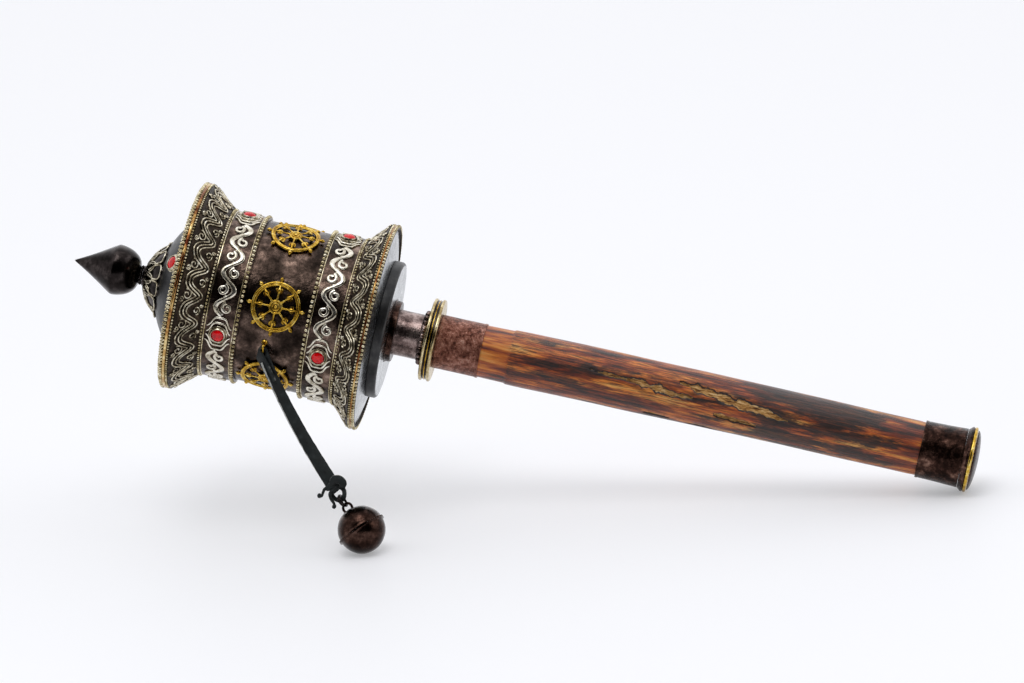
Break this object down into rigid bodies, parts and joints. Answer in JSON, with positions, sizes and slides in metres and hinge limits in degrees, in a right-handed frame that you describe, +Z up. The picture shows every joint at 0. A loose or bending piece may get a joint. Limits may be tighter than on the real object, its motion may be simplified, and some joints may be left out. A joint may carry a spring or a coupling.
{
  "type": "hand-held prayer wheel",
  "caption": "Hand-held prayer wheel: ornamented metal drum spinning on an axle in a wooden grip, with a weighted strap, domed lid and pointed finial.",
  "frame": {"origin": "on the axle at the middle of the bare wooden grip, where a hand holds it", "axes": "+X runs from the finial end towards the handle's butt as the wheel lies, +Z up; the axle slopes 14.75 degrees, the finial end raised"},
  "size_m": [0.3008, 0.093, 0.1129],
  "materials": {
    "wood": "burnished, streaked with black",
    "copper": "mottled aged copper",
    "dark_copper": "dark antiqued copper",
    "blackened": "blackened metal",
    "charcoal": "smooth charcoal patina",
    "brass": "polished brass, dark in the creases",
    "silver": "bright white metal",
    "steel": "plain rod",
    "filigree": "twisted wire on a blackened ground",
    "red_stone": "polished red cabochon",
    "paper": "rolled paper",
    "leather": "black hide with raw grey edges"
  },
  "bodies": {
    "handle": {"wood_grip": "wood", "upper_ferrule": "copper", "lower_ferrule": "dark_copper", "end_ring": "brass", "end_cap": "dark_copper", "guard_lower_ring": "brass", "guard_core": "blackened", "guard_upper_ring": "brass", "bead_collar": "blackened", "neck_tube": "dark_copper", "thrust_washer": "brass", "axle_rod": "steel"},
    "drum": {"drum_wall": "dark_copper", "lower_band": "dark_copper", "upper_band": "dark_copper", "lower_flare": "filigree", "upper_flare": "filigree", "lower_rim": "brass", "upper_rim": "brass", "base_plate": "charcoal", "floor_cone": "silver", "lower_bush": "brass", "scroll_tube": "copper", "mantra_scroll": "paper", "medallion_1": "brass", "medallion_2": "brass", "medallion_3": "brass", "medallion_4": "brass", "medallion_5": "brass", "medallion_6": "brass", "bezel_upper_1": "silver", "stone_upper_1": "red_stone", "bezel_upper_2": "silver", "stone_upper_2": "red_stone", "bezel_upper_3": "silver", "stone_upper_3": "red_stone", "bezel_upper_4": "silver", "stone_upper_4": "red_stone", "bezel_lower_1": "silver", "stone_lower_1": "red_stone", "bezel_lower_2": "silver", "stone_lower_2": "red_stone", "bezel_lower_3": "silver", "stone_lower_3": "red_stone", "bezel_lower_4": "silver", "stone_lower_4": "red_stone", "strap_lug": "brass"},
    "lid": {"dome_lid": "charcoal", "petal_cap": "filigree", "upper_bush": "brass", "bezel_lid": "silver", "stone_lid": "red_stone"},
    "finial_foot": {"finial_collar": "brass"},
    "finial": {"finial": "blackened"},
    "strap": {"leather_strap": "leather", "strap_knot": "leather"},
    "link": {"wire_link": "brass"},
    "ball": {"ball_upper_half": "dark_copper", "ball_lower_half": "dark_copper"}
  },
  "joints": [
    {"name": "drum_spin", "type": "hinge", "parent": "handle", "child": "drum", "pos_m": [0, 0, 0], "axis": [-0.967, 0, 0.2546], "continuous": true},
    {"name": "finial_lift", "type": "slide", "parent": "handle", "child": "finial_foot", "axis": [-0.967, 0, 0.2546], "range_m": [0, 0.06]},
    {"name": "finial_turn", "type": "hinge", "parent": "finial_foot", "child": "finial", "pos_m": [0, 0, 0], "axis": [-0.967, 0, 0.2546], "range_deg": [0, 1800]},
    {"name": "lid_lift", "type": "slide", "parent": "drum", "child": "lid", "axis": [-0.967, 0, 0.2546], "range_m": [0, 0.03]},
    {"name": "strap_swing", "type": "hinge", "parent": "drum", "child": "strap", "pos_m": [-0.14152, -0.02845, 0.02882], "axis": [0.2447, -0.2756, 0.9296], "range_deg": [-118, 18]},
    {"name": "link_swing", "type": "hinge", "parent": "strap", "child": "link", "pos_m": [-0.11531, -0.04578, -0.01671], "axis": [-0.8249, 0, -0.5652], "range_deg": [-40, 40]},
    {"name": "ball_swing", "type": "hinge", "parent": "link", "child": "ball", "pos_m": [-0.114, -0.04659, -0.01861], "axis": [0.1874, 0.9434, -0.2735], "range_deg": [-40, 40]}
  ],
  "couplings": [
    {"joint": "lid_lift", "follows": "finial_lift", "ratio": 0.5},
    {"joint": "finial_turn", "follows": "finial_lift", "rad_per_m": 523.5}
  ]
}
